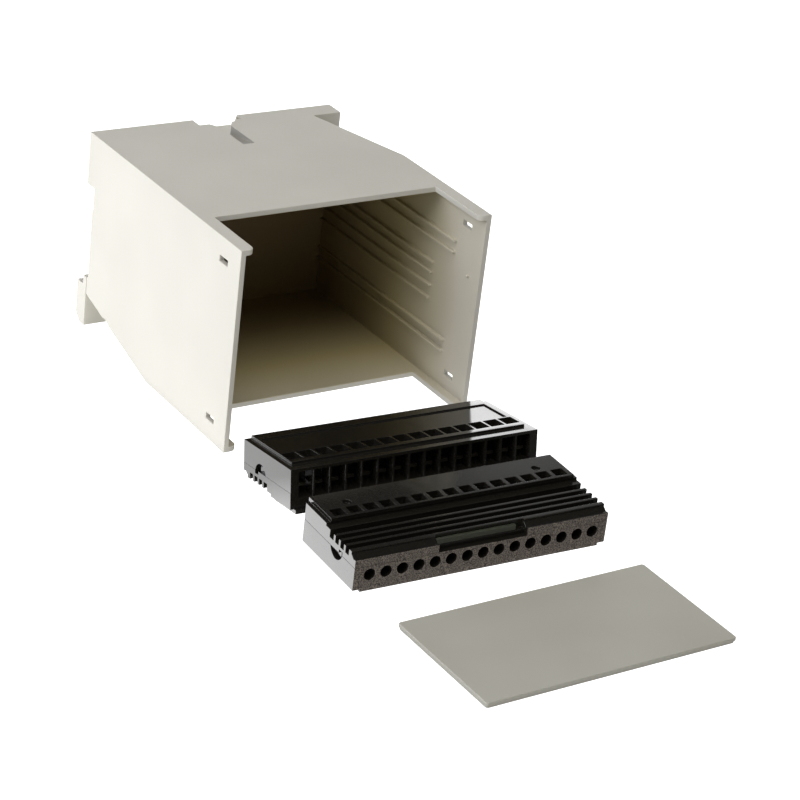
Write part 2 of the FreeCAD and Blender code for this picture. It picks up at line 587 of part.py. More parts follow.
def upper_moulding(prefix):
    solids = [
        box(prefix + "back_block", ("0", "block_front", "split_tall"),
            (ROW_LONG, "strip_deep - block_front", "block_tall - split_tall")),
        box(prefix + "step", ("0", "step_front", "split_tall"),
            (ROW_LONG, "strip_deep - step_front", "step_tall - split_tall")),
        box(prefix + "panel", ("panel_inset", "panel_front", "block_tall"),
            (ROW_LONG + " - 2 * panel_inset", "strip_deep + panel_over - panel_front",
             "panel_top - block_tall")),
        box(prefix + "comb_base", ("0", "0", "split_tall"),
            (ROW_LONG, "block_front", "comb_floor - split_tall")),
        box(prefix + "brow", ("0", "0", "split_tall"),
            (ROW_LONG, "brow_thick", "brow_tall - split_tall")),
        ramp(prefix + "slant", ("0", "brow_thick", "split_tall"), ROW_LONG, "edge_front - brow_thick",
             ("0", "slant_low - split_tall"), ("0", "slant_top - split_tall")),
        box(prefix + "edge_fin", ("0", "edge_front", "split_tall"),
            (ROW_LONG, "fin_first + fin_thick - edge_front", "fin_top - split_tall")),
    ]
    fin = box(prefix + "fin", ("0", "fin_first", "split_tall"),
              (ROW_LONG, "fin_thick", "fin_top - split_tall"))
    solids.append(row(prefix + "fins", fin, (0, 1, 0), "fin_count", "fin_pitch"))
    solids += snap_places(prefix + "tongue", "latch_middle - tongue_wide / 2", "tongue_low",
                          ("tongue_thick", "tongue_wide", "comb_floor - tongue_low"), "tongue_inset")
    cell = box(prefix + "upper_cell", (FIRST_POLE + " - cell_wide / 2", "cell_front", "split_tall"),
               ("cell_wide", "cell_back - cell_front", "cell_top - split_tall"))
    window = box(prefix + "window", (FIRST_POLE + " - window_wide / 2", "window_front", "split_tall"),
                 ("window_wide", "window_back - window_front", "panel_top - split_tall"))
    chamber = box(prefix + "upper_chamber", (FIRST_POLE + " - chamber_wide / 2",
                                             "strip_deep - chamber_deep", "split_tall"),
                  ("chamber_wide", "chamber_deep", "chamber_top - split_tall"))
    cell_with_window = join(prefix + "cell_with_window", [cell, window])
    tools = [row(prefix + "upper_cells", cell_with_window), row(prefix + "upper_chambers", chamber)]
    tools += [
        box(prefix + "label_opening", ("label_left", "0", "split_tall"),
            ("label_long", "label_ledge", "fin_top - split_tall")),
        box(prefix + "label_slot", ("label_left", "label_ledge", "label_low"),
            ("label_long", "label_deep", "fin_top - label_low")),
    ]
    tools += snap_places(prefix + "snap_notch", "latch_middle - latch_radius", "split_tall",
                         ("latch_deep", "notch_wide", "notch_tall"))
    for side, at in (("left", "socket_inset"), ("right", ROW_LONG + " - socket_inset")):
        tools.append(rod(prefix + "dimple_" + side, (at, "socket_depth_place", "panel_top - socket_deep"),
                         "socket_radius", "socket_deep"))
    return cut(prefix + "upper_moulding", join(prefix + "upper_solid", solids), tools)


def marking_strip(prefix):
    return box(prefix + "marking_strip",
               ("label_left + label_play", "label_ledge + label_play", "label_low"),
               ("strip_long", "label_deep - 2 * label_play", "label_tall"))


def clamp_screws(prefix):
    shank_low = BAR_LOW + " + bar_thick"
    shank = rod(prefix + "screw_shank", (FIRST_POLE, SCREW_AXIS, shank_low), "screw_radius",
                "screw_head_low + screw_slot - (%s)" % shank_low)
    head = rod(prefix + "screw_head", (FIRST_POLE, SCREW_AXIS, "screw_head_low"), "screw_head",
               "screw_head_thick")
    slot = box(prefix + "screw_slot", (FIRST_POLE + " - screw_head", SCREW_AXIS + " - screw_slot / 2",
                                       "screw_head_low + screw_head_thick - screw_slot_deep"),
               ("2 * screw_head", "screw_slot", "screw_slot_deep"))
    screw = cut(prefix + "screw", join(prefix + "screw_solid", [shank, head]), [slot])
    return row(prefix + "clamp_screws", screw)


def contact_bars(prefix):
    bar = box(prefix + "bar", (FIRST_POLE + " - bar_wide / 2", "cell_front + bar_play", BAR_LOW),
              ("bar_wide", "bar_end - cell_front - bar_play", "bar_thick"))
    return row(prefix + "contact_bars", bar)


def clamp_cage(prefix, index):
    """A box of bent steel: the wire and the contact bar pass through it, the screw lifts it."""
    name = "%sclamp_cage_%02d" % (prefix, index + 1)
    axis = "(%s + %d * pitch)" % (FIRST_POLE, index)
    front = SCREW_AXIS + " - cage_deep / 2"
    shell = box(name + "_shell", (axis + " - cage_wide / 2", front, "cage_low"),
                ("cage_wide", "cage_deep", "cage_top - cage_low"))
    opening = box(name + "_opening", (axis + " - cage_wide / 2 + cage_side", front,
                                      "cage_low + cage_floor"),
                  ("cage_wide - 2 * cage_side", "cage_deep",
                   "cage_top - cage_roof - cage_low - cage_floor"))
    hole = rod(name + "_hole", (axis, SCREW_AXIS, "cage_top - cage_roof"), "screw_radius + screw_play",
               "cage_roof")
    return cut(name, shell, [opening, hole])


def lay(piece, pose):
    """Moves a finished piece from its row's own frame to its place on the table."""
    local_place = piece.Placement
    for axis in "xyz":
        piece.setExpression("Placement.Base." + axis, None)
    piece.Placement = pose.multiply(local_place)


def terminal_row(prefix, pose):
    """All the pieces of one row, laid on the table in the given pose."""
    pieces = [lower_moulding(prefix), upper_moulding(prefix), marking_strip(prefix),
              clamp_screws(prefix), contact_bars(prefix)]
    for index in range(round(number("pole_count"))):
        pieces.append(clamp_cage(prefix, index))
    doc.recompute()
    for piece in pieces:
        lay(piece, pose)
    return pieces


# Cover plate: two layers, the lower one a little smaller all round.


def rounded_layer(body, name, low, inset, height):
    sketch = outline(new_sketch(body, name + "_outline", "XY_Plane", low), [
        (inset, inset), ("cover_long - " + inset, inset),
        ("cover_long - " + inset, "cover_wide - " + inset), (inset, "cover_wide - " + inset)])
    return pad(body, name, sketch, height)


def front_cover():
    body = doc.addObject("PartDesign::Body", "front_cover")
    rounded_layer(body, "cover_lower", "0", "cover_inset", "cover_skirt")
    doc.recompute()
    upper = rounded_layer(body, "cover_upper", "cover_skirt", "0", "cover_thick - cover_skirt")
    doc.recompute()
    upright = []
    for index, edge in enumerate(upper.Shape.Edges, start=1):
        if abs(edge.tangentAt(edge.FirstParameter).z) > 0.99:
            upright.append("Edge%d" % index)
    rounding = body.newObject("PartDesign::Fillet", "cover_corners")
    rounding.Base = (upper, upright)
    bind(rounding, "Radius", "cover_round")
    turn = FreeCAD.Rotation(FreeCAD.Vector(0, 0, 1), number("cover_turn"))
    body.Placement.Rotation = turn
    return place(body, ("cover_x - case_wide / 2", "cover_y - case_deep / 2", "0"))


def table_pose(name, lift, roll):
    """Where a row lies: its corner from the housing's corner, its turn, and how it is rolled over."""
    corner = FreeCAD.Vector(number(name + "_x") - number("case_wide") / 2,
                            number(name + "_y") - number("case_deep") / 2, lift)
    return FreeCAD.Placement(corner, FreeCAD.Rotation(number(name + "_turn"), 0, roll))


def rear_pose():
    """The rear row lies face down, on its outermost fin and on the front edge of its panel."""
    rise = number("panel_top") - number("fin_top")
    run = number("panel_front") - number("edge_front")
    tilt = math.atan2(rise, run)
    lift = number("fin_top") * math.cos(tilt) - number("edge_front") * math.sin(tilt)
    return table_pose("rear", lift, 180 - math.degrees(tilt))


NODES = [housing(), rail_latch(), latch_spring(), front_cover()]
NODES += terminal_row("front_", table_pose("front", 0, 0))
NODES += terminal_row("rear_", rear_pose())
doc.recompute()

for item in doc.Objects:
    if "Invalid" in item.State or "Error" in item.State:
        raise RuntimeError("failed object: " + item.Name)
os.makedirs("parts", exist_ok=True)
for node in NODES:
    shape = node.Shape
    if shape.isNull() or not shape.isValid():
        raise RuntimeError("bad shape: " + node.Label)
    shape.exportStep("parts/%s.step" % node.Label)
    print("%-24s %2d solids %10.1f mm3" % (node.Label, len(shape.Solids), shape.Volume))
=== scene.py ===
# %% [markdown]
# # A rail enclosure and its terminal rows
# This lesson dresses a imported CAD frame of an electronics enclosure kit: a wide grey
# housing that clips on a 35 mm rail, two black rows of screw terminals and a cover plate,
# laid out on a white table. The frame is loaded first, and nothing in it is moved. Each CAD
# node is then replaced by a copy of itself with rounded edges and a finish of its own.

# %% Load the frame
import math
import bmesh
import bpy
from mathutils import Matrix, Vector


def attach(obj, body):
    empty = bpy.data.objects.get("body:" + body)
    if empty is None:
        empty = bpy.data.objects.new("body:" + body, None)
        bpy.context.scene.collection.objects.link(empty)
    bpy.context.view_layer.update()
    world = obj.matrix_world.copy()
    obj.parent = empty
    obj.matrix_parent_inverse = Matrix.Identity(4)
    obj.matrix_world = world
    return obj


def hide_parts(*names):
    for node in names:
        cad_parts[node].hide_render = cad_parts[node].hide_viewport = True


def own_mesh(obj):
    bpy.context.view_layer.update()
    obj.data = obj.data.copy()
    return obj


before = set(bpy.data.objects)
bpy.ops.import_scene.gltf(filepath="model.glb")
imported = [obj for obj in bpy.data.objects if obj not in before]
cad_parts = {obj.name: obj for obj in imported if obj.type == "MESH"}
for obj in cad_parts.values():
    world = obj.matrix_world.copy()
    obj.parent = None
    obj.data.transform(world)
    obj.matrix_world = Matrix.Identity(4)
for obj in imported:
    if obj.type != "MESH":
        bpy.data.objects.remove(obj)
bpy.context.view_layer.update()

MM = 0.001

# %% [markdown]
# ## The camera
# The photograph was taken from the front left with a long lens, slightly rolled, as shots of
# small parts often are. A camera can be aimed by hand, by a constraint, or by the numbers of
# a fit. Here it is the fit: a place, a direction and a roll, which give the three axes of
# the camera's matrix directly, so no constraint is left that other views would fight.

# %% Camera
CAMERA_PLACE = Vector((-472.876, -747.941, 426.896)) * MM
AZIMUTH, ELEVATION, ROLL = -0.6189524, 0.4576626, 0.1225215
LENS_PIXELS, IMAGE_PIXELS, SENSOR_MM = 2691.2, 800, 36.0

forward = Vector((-math.sin(AZIMUTH) * math.cos(ELEVATION),
                  math.cos(AZIMUTH) * math.cos(ELEVATION), -math.sin(ELEVATION)))
level = forward.cross(Vector((0, 0, 1))).normalized()
upright = level.cross(forward)
right = level * math.cos(ROLL) + upright * math.sin(ROLL)
up = upright * math.cos(ROLL) - level * math.sin(ROLL)

camera_data = bpy.data.cameras.new("camera")
camera_data.sensor_fit = "HORIZONTAL"
camera_data.sensor_width = SENSOR_MM
camera_data.lens = LENS_PIXELS / IMAGE_PIXELS * SENSOR_MM
camera_data.clip_start, camera_data.clip_end = 0.05, 20
camera = bpy.data.objects.new("camera", camera_data)
camera_axes = Matrix((right, up, -forward)).transposed().to_4x4()
camera.matrix_world = Matrix.Translation(CAMERA_PLACE) @ camera_axes
bpy.context.scene.collection.objects.link(camera)
bpy.context.scene.camera = camera
# colours come out as they are noted, with no film curve over them
bpy.context.scene.view_settings.view_transform = "Standard"
print("lens %.1f mm" % camera_data.lens)

# %% [markdown]
# ## Colours and nodes
# Colours are noted as sRGB hex values, as a colour picker shows them, but a shader works
# with linear light. One function turns the first into the second. A second one adds a node
# with its settings and links in one call, which keeps each material short to read.

# %% Helpers for materials


def linear(hex_colour):
    """An sRGB hex colour as linear red, green, blue and alpha."""
    values = [int(hex_colour[i:i + 2], 16) / 255 for i in (0, 2, 4)]
    return [v / 12.92 if v <= 0.04045 else ((v + 0.055) / 1.055) ** 2.4 for v in values] + [1.0]


def add_node(tree, kind, settings=None, links=None):
    """One node: its settings by property or input name, its links by input name."""
    node = tree.nodes.new(kind)
    for name, value in (settings or {}).items():
        if name in node.inputs:
            node.inputs[name].default_value = value
        else:
            setattr(node, name, value)
    for name, socket in (links or {}).items():
        tree.links.new(socket, node.inputs[name])
    return node


def new_material(name, **shader_settings):
    """A material with one Principled shader; returns it with its tree, shader and coordinates."""
    material = bpy.data.materials.new(name)
    material.use_nodes = True
    tree = material.node_tree
    tree.nodes.clear()
    shader = add_node(tree, "ShaderNodeBsdfPrincipled",
                      {k.replace("_", " "): v for k, v in shader_settings.items()})
    add_node(tree, "ShaderNodeOutputMaterial", links={"Surface": shader.outputs[0]})
    place = add_node(tree, "ShaderNodeTexCoord").outputs["Object"]
    return material, tree, shader, place


def grain(tree, place, size_mm, detail=2.0, rough=0.5):
    """Noise whose grains are about size_mm across; its plain value."""
    return add_node(tree, "ShaderNodeTexNoise",
                    {"Scale": 1 / (size_mm * MM), "Detail": detail, "Roughness": rough},
                    {"Vector": place}).outputs[0]


def spread(tree, value, low, high, start=0.3, end=0.7):
    """A value's range from start to end, turned into low to high."""
    return add_node(tree, "ShaderNodeMapRange",
                    {"From Min": start, "From Max": end, "To Min": low, "To Max": high},
                    {"Value": value}).outputs[0]


def blend_colours(tree, share, first, second):
    """A mix of two colours, each a hex value or a socket, by a share from 0 to 1."""
    node = add_node(tree, "ShaderNodeMix", {"data_type": "RGBA"})
    for socket, colour in zip([s for s in node.inputs if s.type == "RGBA"], (first, second)):
        if isinstance(colour, str):
            socket.default_value = linear(colour)
        else:
            tree.links.new(colour, socket)
    tree.links.new(share, node.inputs["Factor"])
    return [socket for socket in node.outputs if socket.type == "RGBA"][0]


def vary_roughness(tree, shader, value, roughness, less, more):
    """Lets a shader's roughness drift about its typical value with a noise."""
    tree.links.new(spread(tree, value, roughness - less, roughness + more),
                   shader.inputs["Roughness"])


def bump(tree, shader, height, depth_mm):
    """A fine relief of the given depth on a shader's normal."""
    node = add_node(tree, "ShaderNodeBump", {"Strength": 1.0, "Distance": depth_mm * MM},
                    {"Height": height})
    tree.links.new(node.outputs[0], shader.inputs["Normal"])


print("white is", linear("ffffff"))

# %% [markdown]
# ## Moulded ABS
# The housing is injection moulded ABS in light grey. Its mould was spark eroded, which
# leaves a fine matt skin: the eye gets a soft sheen with no clear reflection, and a very
# faint unevenness of tone where the melt flowed. ABS has an IOR of about 1.53 and this skin
# a roughness near 0.5. The real grain is about 0.05 mm, which a render can't show, so the
# relief is drawn at 0.25 mm and kept shallow. The groove on the roof, which the mould's
# insert left rougher, gets a darker grey as painted shade, and the inner faces get painted
# shade that darkens towards the back. The cover is a shade darker and smoother.

# %% Housing plastic
ABS_IOR = 1.53
FLOW_MM, SKIN_MM = 30, 0.25


def moulded_abs(name, light, dark, roughness, depth_mm=0.006, painted_shade_stops=()):
    """ABS whose tone drifts from light to dark with the melt's flow, and then, as painted shade,
    with the depth to other tones, each given with the millimetres along Y where it starts and is
    complete."""
    material, tree, shader, place = new_material(name, Roughness=roughness, IOR=ABS_IOR)
    flow = grain(tree, place, FLOW_MM, 1.5)
    tone = blend_colours(tree, spread(tree, flow, 0, 1), light, dark)
    # painted shade: the tone turns to darker ones along Y, deeper into the housing
    for first, last, colour in painted_shade_stops:
        along = add_node(tree, "ShaderNodeSeparateXYZ", links={"Vector": place}).outputs["Y"]
        tone = blend_colours(tree, spread(tree, along, 0, 1, first * MM, last * MM), tone, colour)
    tree.links.new(tone, shader.inputs["Base Color"])
    skin = grain(tree, place, SKIN_MM, 3)
    vary_roughness(tree, shader, skin, roughness, 0.04, 0.06)
    bump(tree, shader, skin, depth_mm)
    return material


shell_skin = moulded_abs("moulded_abs_matt_skin", "c6c3b8", "c1beb3", 0.5)
# the inner faces: painted shade, warmer than the skin and darker and olive towards the back
shell_inside_painted_shade = moulded_abs("moulded_abs_inside_painted_shade", "c6c1b2", "c2bcab", 0.45,
                           painted_shade_stops=((-45, -5, "a89c74"), (-5, 40, "74623f")))
cover_skin = moulded_abs("moulded_abs_smooth_cover", "b4b2a6", "b0ada1", 0.42)
# the groove's darker grey is painted shade; its rougher finish is real
groove_painted_shade = moulded_abs("moulded_abs_rough_groove_painted_shade", "98958c", "928f86", 0.6, 0.01)
print(shell_skin.name, shell_inside_painted_shade.name, cover_skin.name, groove_painted_shade.name)

# %% [markdown]
# ## Glass filled polyamide
# Terminal blocks are moulded from black polyamide with short glass fibres, which keeps its
# shape when screws get warm. On polished mould faces it is dark and glossy with a slight
# ripple; on eroded faces the fibres show as a salt and pepper speckle. IOR is about 1.55.

# %% Terminal plastic
POLYAMIDE_IOR = 1.55


def black_polyamide(name, roughness, speckle_mm, depth_mm, low, high):
    """Polyamide whose fibres show as specks of a lighter tone, with a relief under them."""
    material, tree, shader, place = new_material(name, Roughness=roughness, IOR=POLYAMIDE_IOR)
    fibres = grain(tree, place, speckle_mm, 3, 0.6)
    specks = spread(tree, fibres, 0, 1, 0.4, 0.6)
    tree.links.new(blend_colours(tree, specks, low, high), shader.inputs["Base Color"])
    vary_roughness(tree, shader, fibres, roughness, 0.03, 0.05)
    bump(tree, shader, fibres, depth_mm)
    return material


terminal_black = black_polyamide("glass_filled_polyamide_polished", 0.1, 0.5, 0.0008,
                                 "171612", "201e1a")
terminal_speckled = black_polyamide("glass_filled_polyamide_eroded", 0.45, 0.35, 0.02,
                                    "1f1b17", "857a6f")
print(terminal_black.name, terminal_speckled.name)

# %% [markdown]
# ## Metals and the marking strip
# The clamp screws and cages are zinc plated steel, a cool grey with a soft satin. The contact
# bars are tinned brass, dull, and coloured dark as painted shade down in the row, and the foot's
# spring is drawn wire.
# The marking strip is a little bar of translucent polycarbonate under which a paper label
# would lie; bare, it looks grey green.

# %% Small finishes
PLATING_RELIEF_MM = 0.004
POLYCARBONATE_IOR = 1.58


def plated_metal(name, colour, roughness, grain_mm):
    """A metal whose plating leaves soft clouds of more and less sheen."""
    material, tree, shader, place = new_material(name, Metallic=1.0, Roughness=roughness)
    shader.inputs["Base Color"].default_value = linear(colour)
    cloud = grain(tree, place, grain_mm, 3)
    vary_roughness(tree, shader, cloud, roughness, 0.08, 0.1)
    bump(tree, shader, cloud, PLATING_RELIEF_MM)
    return material


zinc_screw = plated_metal("zinc_plated_turned_steel", "b9b7b0", 0.32, 0.4)
zinc_cage = plated_metal("zinc_plated_bent_steel", "a3a19b", 0.4, 0.6)
# painted shade: the bars' dark colour stands in for the shade down in the row
brass_painted_shade = plated_metal("tinned_brass_painted_shade", "4f4a40", 0.5, 0.5)
spring_wire = plated_metal("drawn_spring_wire", "8f8e8c", 0.28, 0.2)

strip_clear, strip_tree, strip_shader, strip_place = new_material(
    "translucent_polycarbonate_strip", Roughness=0.3, IOR=POLYCARBONATE_IOR)
strip_cloud = grain(strip_tree, strip_place, 1.5)
strip_tree.links.new(blend_colours(strip_tree, strip_cloud, "3a3d32", "44473b"),
                     strip_shader.inputs["Base Color"])
strip_shader.inputs["Subsurface Weight"].default_value = 0.3
strip_shader.inputs["Subsurface Radius"].default_value = (0.6 * MM, 0.7 * MM, 0.5 * MM)
bump(strip_tree, strip_shader, grain(strip_tree, strip_place, 0.4), 0.01)
print(zinc_screw.name, zinc_cage.name, brass_painted_shade.name, spring_wire.name, strip_clear.name)

# %% [markdown]
# ## Rounded copies of the moulded pieces
# Real mouldings have no perfectly sharp edge: a radius of one or two tenths of a millimetre
# catches the light as a thin bright line, and that line is what makes a plastic part look
# real. A CAD node comes as loose triangles, so a copy is merged and its flat faces are
# dissolved back into whole ones. Each edge that turns by more than about 35 degrees then
# gets a bevel weight, and a bevel modifier rounds the edges by their weight. Half a weight
# gives half the radius, for ledges too narrow for more. The copy then stands for the node,
# inside the same box.

# %% Helpers for pieces
MERGE_MM, CUT_MM = 0.002, 0.0005
FLAT_DEGREES, SMOOTH_DEGREES = 0.5, 50
# how far the edges of each kind of piece are rounded, in millimetres
SHELL_EDGE, ROW_EDGE, STRIP_EDGE, CAGE_EDGE, BAR_EDGE, SCREW_EDGE, WIRE_EDGE = (
    0.25, 0.12, 0.15, 0.1, 0.08, 0.07, 0.04)


def only(piece):
    """Leaves one object selected and active, in object mode."""
    bpy.ops.object.select_all(action="DESELECT")
    piece.select_set(True)
    bpy.context.view_layer.objects.active = piece


def apply_modifier(piece, kind, **settings):
    """Adds a modifier with its settings and makes its result the piece's own mesh."""
    modifier = piece.modifiers.new(kind.lower(), kind)
    for name, value in settings.items():
        setattr(modifier, name, value)
    only(piece)
    bpy.ops.object.modifier_apply(modifier=modifier.name)


def finish_piece(piece, body, nodes):
    """Says what a finished piece rides on and which nodes it stands for, and hides those nodes.
    """
    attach(piece, body)
    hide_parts(*nodes)


def in_box(point, box):
    """Whether a point lies inside a box given by its two corners."""
    return all(low < value < high for low, value, high in zip(box[0], point, box[1]))


def weigh_edges(piece, angle, finer):
    """Gives each edge that turns by more than an angle a bevel weight: half a one where the
    edge lies inside one of the boxes finer, and else a whole one."""
    mesh = bmesh.new()
    mesh.from_mesh(piece.data)
    weight = mesh.edges.layers.float.new("bevel_weight_edge")
    for edge in mesh.edges:
        if edge.calc_face_angle(0) > math.radians(angle):
            ends = [vert.co / MM for vert in edge.verts]
            tight = any(all(in_box(end, box) for end in ends) for box in finer)
            edge[weight] = 0.5 if tight else 1
    mesh.to_mesh(piece.data)
    mesh.free()


def rounded_copy(node, name, radius_mm, material, segments=2, angle=35, planes=(), finer=()):
    """A merged copy of a CAD node with its edges rounded.

    A flat face with many holes in it is cut by planes, each a point and a normal, so that
    every part of it stays a simple outline. Where a ledge is too narrow for the radius, a
    box, given by two corners in millimetres, halves it."""
    piece = bpy.data.objects.new(name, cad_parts[node].data.copy())
    bpy.context.scene.collection.objects.link(piece)
    only(piece)
    bpy.ops.object.mode_set(mode="EDIT")
    bpy.ops.mesh.select_all(action="SELECT")
    bpy.ops.mesh.remove_doubles(threshold=MERGE_MM * MM)
    # a cut is marked as a seam, because the dissolve would else remove it again
    for point, normal in planes:
        bpy.ops.mesh.select_all(action="SELECT")
        bpy.ops.mesh.bisect(plane_co=point, plane_no=normal, threshold=CUT_MM * MM)
        bpy.ops.mesh.mark_seam()
    bpy.ops.mesh.select_all(action="SELECT")
    bpy.ops.mesh.dissolve_limited(angle_limit=math.radians(FLAT_DEGREES), delimit={"SEAM"})
    bpy.ops.mesh.select_all(action="SELECT")
    bpy.ops.mesh.mark_seam(clear=True)
    bpy.ops.object.mode_set(mode="OBJECT")
    piece.data.materials.clear()
    piece.data.materials.append(material)
    weigh_edges(piece, angle, finer)
    apply_modifier(piece, "BEVEL", width=radius_mm * MM, segments=segments,
                   limit_method="WEIGHT", use_clamp_overlap=False, miter_outer="MITER_ARC")
    bpy.ops.object.shade_smooth_by_angle(angle=math.radians(SMOOTH_DEGREES))
    apply_modifier(piece, "WEIGHTED_NORMAL", mode="FACE_AREA", weight=100, keep_sharp=True)
    return piece


BODY, FOOT = "housing_and_kit", "foot"
print("rounded edges of", WIRE_EDGE, "to", SHELL_EDGE, "mm")

# %% [markdown]
# ## The housing
# One moulding, open at the front. Its outer skin is matt. Its inner faces are plain and get
# painted shade: a warmer tone that turns darker and olive towards the back, in place of the
# light that reaches them only through and off the same plastic. They could be picked by their
# place alone, but the slanting corners and the rail's groove lie as deep, so a face also has
# to see the housing's middle and its open front.
# The cutting planes go through the foot's holes and the snap slots, and the finer boxes lie
# around the ledge of the roof's slot and the narrow gaps under the two highest guide ribs.

# %% Housing
ACROSS, ALONG = Vector((1, 0, 0)), Vector((0, 1, 0))
FOOT_HOLES, SNAP_SLOTS = 25.0, -44.05
hole_planes = [(Vector((x * MM, 0, 0)), ACROSS) for x in (-FOOT_HOLES, 0, FOOT_HOLES)]
slot_plane = (Vector((0, SNAP_SLOTS * MM, 0)), ALONG)
SLOT_LEDGE = ((-9, 48.5, 71), (6.5, 51.5, 75.5))
RIB_FOOT = 48
RIB_GAPS = [((x - 1, -43, 56.8), (x + 1, 54, 59.2)) for x in (-RIB_FOOT, RIB_FOOT)]
housing = rounded_copy("housing", "housing_shell", SHELL_EDGE, shell_skin,
                       planes=hole_planes + [slot_plane], finer=[SLOT_LEDGE] + RIB_GAPS)
finish_piece(housing, BODY, ["housing"])
housing.data.materials.append(shell_inside_painted_shade)
housing.data.materials.append(groove_painted_shade)
INSIDE, GROOVE = 1, 2

# the room that inner faces lie in, past a little more than half a wall's thickness
HALF_WIDE, WALL, TALL, FRONT, BACK = (value * MM for value in (50, 2, 75, -54.9, 50.2))
WITHIN_WALL = 0.6 * WALL
BEFORE_FRONT = 4 * FRONT
OFF_FACE = 0.1 * MM
GROOVE_BOX = ((-2.5, 28.5, 71), (3, 50, 74.95))
LEVEL = 0.99
bpy.context.view_layer.update()


def sees(start, end):
    """Whether no part of the housing lies between two points."""
    way = end - start
    return not housing.ray_cast(start, way.normalized(), distance=way.length)[0]


def lies_inside(face):
    """Whether a face lies within the walls and sees the housing's middle and its open front."""
    x, y, z = face.center
    if abs(x) > HALF_WIDE - WITHIN_WALL or not FRONT < y < BACK:
        return False
    if not WITHIN_WALL < z < TALL - WITHIN_WALL:
        return False
    start = face.center + face.normal * OFF_FACE
    centre = Vector((0, start.y, start.z))
    return sees(start, centre) and sees(centre, Vector((0, BEFORE_FRONT, start.z)))


def lies_in_groove(face):
    """Whether a face belongs to the roof's groove and isn't level."""
    return in_box(face.center / MM, GROOVE_BOX) and face.normal.z < LEVEL


# the groove's sloping faces take its painted shade, the inner faces the inside's painted shade
for face in housing.data.polygons:
    if lies_in_groove(face):
        face.material_index = GROOVE
    elif lies_inside(face):
        face.material_index = INSIDE
inside = sum(face.material_index == INSIDE for face in housing.data.polygons)
print("housing faces", len(housing.data.polygons), "inside", inside)

# %% [markdown]
# ## The rail foot and its spring
# The foot slides down against a small compression spring to let the rail go. The foot is a
# moulding like the housing. The spring stands on a ledge of the housing and rides on it.

# %% Foot
HOOK_END = 45.0
end_planes = [(Vector((side * HOOK_END * MM, 0, 0)), ACROSS) for side in (-1, 1)]
foot = rounded_copy("rail_latch", "rail_foot", SHELL_EDGE, shell_skin,
                    planes=hole_planes + end_planes)
finish_piece(foot, FOOT, ["rail_latch"])

spring = rounded_copy("latch_spring", "foot_spring", WIRE_EDGE, spring_wire, angle=60)
finish_piece(spring, BODY, ["latch_spring"])
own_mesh(spring)
print("foot faces", len(foot.data.polygons), "spring faces", len(spring.data.polygons))

# %% [markdown]
# ## The cover plate
# A flat plate in two layers, the lower one slightly smaller, so that it snaps between the
# housing's lips.

# %% Cover
cover = rounded_copy("front_cover", "front_cover_plate", SHELL_EDGE, cover_skin, segments=3)
finish_piece(cover, BODY, ["front_cover"])
print("cover faces", len(cover.data.polygons))

# %% [markdown]
# ## The terminal rows
# Each row is two black mouldings snapped together. The faces where the wires go in were
# left eroded in the mould and are speckled; the others are polished. Which faces those are
# is easiest to say in the row's own frame, along the row, into its depth and up to its panel,
# so each row's place on the table is written down once, as a corner in millimetres and a
# turn and a roll in degrees, and turned round.

# %% Rows
ROW_PLACES = {
    "front": ((-57.39, -151.70, 0), -2.42, 0),
    "rear": ((-50.40, -68.32, 12.987), -2.79, 180 - 8.902),
}
row_frames = {}
for row, (corner, turn, roll) in ROW_PLACES.items():
    row_frames[row] = (Matrix.Translation(Vector(corner) * MM)
                       @ Matrix.Rotation(math.radians(turn), 4, "Z")
                       @ Matrix.Rotation(math.radians(roll), 4, "X"))

SPECKLED = 1
ENTRY_DEPTH, TOWARDS_WIRES = 0.3 * MM, -0.7
PITCH, END_MARGIN, POLES = 6.0, 2.65, 15
WINDOW_MIDDLE, DIMPLE_MIDDLE, BORE_HEIGHT = 22.75, 27.6, 5.9


def speckle_entry_face(piece, row):
    """Gives the faces that look out at the wires' side, and lie there, the second material."""
    to_row = row_frames[row].inverted()
    count = 0
    for face in piece.data.polygons:
        depth = (to_row @ face.center).y
        if depth < ENTRY_DEPTH and (to_row.to_3x3() @ face.normal).y < TOWARDS_WIRES:
            face.material_index = SPECKLED
            count += 1
    return count


def cutting_planes(row):
    """Planes between the terminals, and through the middle of windows, dimples and bores."""
    places = [((END_MARGIN + PITCH * index, 0, 0), (1, 0, 0)) for index in range(POLES + 1)]
    places += [((0, depth, 0), (0, 1, 0)) for depth in (WINDOW_MIDDLE, DIMPLE_MIDDLE)]
    places.append(((0, 0, BORE_HEIGHT), (0, 0, 1)))
    to_table = row_frames[row]
    return [(to_table @ (Vector(point) * MM), to_table.to_3x3() @ Vector(normal))
            for point, normal in places]


for row in row_frames:
    for part in ("lower", "upper"):
        node = "%s_%s_moulding" % (row, part)
        moulding = rounded_copy(node, "%s_row_%s_half" % (row, part), ROW_EDGE, terminal_black,
                                planes=cutting_planes(row))
        finish_piece(moulding, BODY, [node])
        moulding.data.materials.append(terminal_speckled)
        print(node, len(moulding.data.polygons), "speckled", speckle_entry_face(moulding, row))
    strip = rounded_copy(row + "_marking_strip", row + "_label_strip", STRIP_EDGE, strip_clear)
    finish_piece(strip, BODY, [row + "_marking_strip"])

# %% [markdown]
# ## Screws, cages and contact bars
# Under each window a slotted screw pulls a small box of bent steel against the contact bar,
# with the wire between. Turned and stamped metal has broken edges of about a tenth of a
# millimetre, which give the small sparks seen down in the windows. The fifteen cages of a
# row are one shape, so it is made once and copied along the row.

